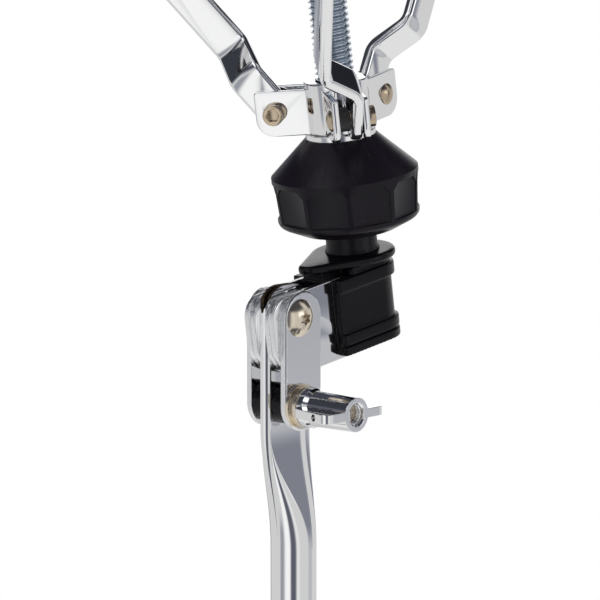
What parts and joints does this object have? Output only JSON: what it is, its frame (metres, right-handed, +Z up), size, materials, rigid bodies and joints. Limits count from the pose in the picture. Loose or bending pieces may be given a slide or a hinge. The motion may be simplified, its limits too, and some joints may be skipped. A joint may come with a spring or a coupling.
{
  "type": "snare drum stand",
  "caption": "Folding tripod stand with a height-adjustable mast, offset tilter and a three-armed basket that a large nut closes on a snare drum.",
  "frame": {"origin": "on the base tube's axis at floor level, 3 mm below the tube's end cap", "axes": "+Z up along the mast, +X along the tilt bolt towards the wing nut, +Y from the mast towards the adjusting nut"},
  "size_m": [0.5094, 0.4412, 0.6202],
  "materials": {
    "chrome_plate": "bright plated steel",
    "nickel_fasteners": "warm nickel plate",
    "black_rubber": "matt",
    "zinc_rod": "bluish zinc plate",
    "black_plastic": "satin",
    "boot_plastic": "semi-gloss",
    "nylon": "matt"
  },
  "bodies": {
    "base": {"base_tube": "chrome_plate", "base_end_cap": "black_plastic", "leg_bracket": "chrome_plate", "leg_pins": "nickel_fasteners", "height_clamp": "chrome_plate", "clamp_bolt": "nickel_fasteners"},
    "brace_ring": {"brace_ring": "chrome_plate", "ring_pins": "nickel_fasteners"},
    "ring_screw": {"ring_wing_screw": "chrome_plate"},
    "clamp_nut": {"clamp_wing_nut": "chrome_plate"},
    "bushing": {"clamp_bushing": "nylon"},
    "mast": {"mast_tube": "chrome_plate", "front_side_plate": "chrome_plate", "rear_side_plate": "chrome_plate", "pivot_bolt": "nickel_fasteners", "pivot_nut": "nickel_fasteners", "tilt_bolt": "nickel_fasteners", "tilt_washers": "nickel_fasteners", "clamp_spacers": "boot_plastic"},
    "memory_lock": {"memory_lock": "chrome_plate", "memory_lock_screw": "nickel_fasteners"},
    "tilt_nut": {"tilt_wing_nut": "chrome_plate"},
    "head": {"tilt_bracket": "chrome_plate", "friction_plates": "chrome_plate", "tilt_boot": "boot_plastic", "neck_sleeve": "boot_plastic", "threaded_rod": "zinc_rod", "top_collar": "chrome_plate", "cap_nut": "chrome_plate", "arm_pins": "nickel_fasteners"},
    "hub": {"basket_hub": "chrome_plate", "thrust_washer": "nickel_fasteners", "hub_screws": "nickel_fasteners", "hub_spacers": "nylon"},
    "adjuster": {"adjusting_nut": "black_plastic", "nut_insert": "zinc_rod"},
    "leg_1": {"leg_1": "chrome_plate", "foot_1": "black_rubber", "leg_rivets_1": "nickel_fasteners"},
    "brace_1": {"brace_1": "chrome_plate"},
    "strut_1": {"strut_1": "chrome_plate"},
    "arm_1": {"arm_1": "chrome_plate", "grip_1": "black_rubber", "arm_rivet_1": "nickel_fasteners"},
    "leg_2": {"leg_2": "chrome_plate", "foot_2": "black_rubber", "leg_rivets_2": "nickel_fasteners"},
    "brace_2": {"brace_2": "chrome_plate"},
    "strut_2": {"strut_2": "chrome_plate"},
    "arm_2": {"arm_2": "chrome_plate", "grip_2": "black_rubber", "arm_rivet_2": "nickel_fasteners"},
    "leg_3": {"leg_3": "chrome_plate", "foot_3": "black_rubber", "leg_rivets_3": "nickel_fasteners"},
    "brace_3": {"brace_3": "chrome_plate"},
    "strut_3": {"strut_3": "chrome_plate"},
    "arm_3": {"arm_3": "chrome_plate", "grip_3": "black_rubber", "arm_rivet_3": "nickel_fasteners"}
  },
  "joints": [
    {"name": "leg_fold_1", "type": "hinge", "parent": "base", "child": "leg_1", "pos_m": [0, 0.026, 0.18076], "axis": [-1, 0, 0], "range_deg": [0, 51]},
    {"name": "brace_swing_1", "type": "hinge", "parent": "leg_1", "child": "brace_1", "pos_m": [0, 0.09398, 0.1349], "axis": [-1, 0, 0], "range_deg": [-102, 0]},
    {"name": "leg_fold_2", "type": "hinge", "parent": "base", "child": "leg_2", "pos_m": [-0.02252, -0.013, 0.18076], "axis": [0.5, -0.866, 0], "range_deg": [0, 51]},
    {"name": "brace_swing_2", "type": "hinge", "parent": "leg_2", "child": "brace_2", "pos_m": [-0.08139, -0.04699, 0.1349], "axis": [0.5, -0.866, 0], "range_deg": [-102, 0]},
    {"name": "leg_fold_3", "type": "hinge", "parent": "base", "child": "leg_3", "pos_m": [0.02252, -0.013, 0.18076], "axis": [0.5, 0.866, 0], "range_deg": [0, 51]},
    {"name": "brace_swing_3", "type": "hinge", "parent": "leg_3", "child": "brace_3", "pos_m": [0.08139, -0.04699, 0.1349], "axis": [0.5, 0.866, 0], "range_deg": [-102, 0]},
    {"name": "ring_level", "type": "hinge", "parent": "brace_1", "child": "brace_ring", "pos_m": [0, 0.026, 0.08905], "axis": [-1, 0, 0], "range_deg": [0, 51]},
    {"name": "ring_screw_turn", "type": "hinge", "parent": "brace_ring", "child": "ring_screw", "pos_m": [0, -0.027, 0.08905], "axis": [0, -1, 0], "range_deg": [-360, 0]},
    {"name": "clamp_nut_turn", "type": "hinge", "parent": "base", "child": "clamp_nut", "pos_m": [0.0085, -0.026, 0.21076], "axis": [1, 0, 0], "range_deg": [-360, 0]},
    {"name": "mast_swivel", "type": "hinge", "parent": "base", "child": "bushing", "pos_m": [0, 0, 0.22576], "axis": [0, 0, 1], "continuous": true},
    {"name": "mast_height", "type": "slide", "parent": "bushing", "child": "mast", "axis": [0, 0, 1], "range_m": [0, 0.09]},
    {"name": "memory_lock_slide", "type": "slide", "parent": "mast", "child": "memory_lock", "axis": [0, 0, 1], "range_m": [0, 0.03]},
    {"name": "tilt", "type": "hinge", "parent": "mast", "child": "head", "pos_m": [0, -0.008, 0.37206], "axis": [1, 0, 0], "range_deg": [-30, 75]},
    {"name": "tilt_nut_turn", "type": "hinge", "parent": "mast", "child": "tilt_nut", "pos_m": [0.0162, -0.008, 0.33586], "axis": [1, 0, 0], "range_deg": [-360, 0]},
    {"name": "basket_grip", "type": "slide", "parent": "head", "child": "hub", "axis": [0, -0.1478, 0.989], "range_m": [0, 0.02]},
    {"name": "adjuster_turn", "type": "hinge", "parent": "hub", "child": "adjuster", "pos_m": [0, 0.03452, 0.4042], "axis": [0, -0.1478, 0.989], "range_deg": [0, 2880]},
    {"name": "strut_swing_1", "type": "hinge", "parent": "hub", "child": "strut_1", "pos_m": [-0.00377, 0.05188, 0.45866], "axis": [-0.989, -0.1462, -0.0218], "range_deg": [-5.35, 0]},
    {"name": "arm_swing_1", "type": "hinge", "parent": "head", "child": "arm_1", "pos_m": [-0.00251, 0.03174, 0.53654], "axis": [-0.989, -0.1462, -0.0218], "range_deg": [-20.07, 0]},
    {"name": "strut_swing_2", "type": "hinge", "parent": "hub", "child": "strut_2", "pos_m": [-0.02186, 0.01395, 0.45299], "axis": [0.515, -0.8478, -0.1267], "range_deg": [-5.35, 0]},
    {"name": "arm_swing_2", "type": "hinge", "parent": "head", "child": "arm_2", "pos_m": [-0.01457, 0.00645, 0.53276], "axis": [0.515, -0.8478, -0.1267], "range_deg": [-20.07, 0]},
    {"name": "strut_swing_3", "type": "hinge", "parent": "hub", "child": "strut_3", "pos_m": [0.02009, 0.01141, 0.45261], "axis": [0.6157, 0.7794, 0.1165], "range_deg": [-5.35, 0]},
    {"name": "arm_swing_3", "type": "hinge", "parent": "head", "child": "arm_3", "pos_m": [0.0134, 0.00476, 0.53251], "axis": [0.6157, 0.7794, 0.1165], "range_deg": [-20.07, 0]}
  ],
  "couplings": [
    {"joint": "brace_swing_1", "follows": "leg_fold_1", "ratio": -2},
    {"joint": "brace_swing_2", "follows": "leg_fold_1", "ratio": -2},
    {"joint": "leg_fold_2", "follows": "leg_fold_1", "ratio": 1},
    {"joint": "brace_swing_3", "follows": "leg_fold_1", "ratio": -2},
    {"joint": "leg_fold_3", "follows": "leg_fold_1", "ratio": 1},
    {"joint": "ring_level", "follows": "leg_fold_1", "ratio": 1},
    {"joint": "adjuster_turn", "follows": "basket_grip", "rad_per_m": 2513.3},
    {"joint": "strut_swing_1", "follows": "basket_grip", "rad_per_m": -4.667},
    {"joint": "arm_swing_1", "follows": "basket_grip", "rad_per_m": -17.513},
    {"joint": "strut_swing_2", "follows": "basket_grip", "rad_per_m": -4.667},
    {"joint": "arm_swing_2", "follows": "basket_grip", "rad_per_m": -17.513},
    {"joint": "strut_swing_3", "follows": "basket_grip", "rad_per_m": -4.667},
    {"joint": "arm_swing_3", "follows": "basket_grip", "rad_per_m": -17.513}
  ]
}
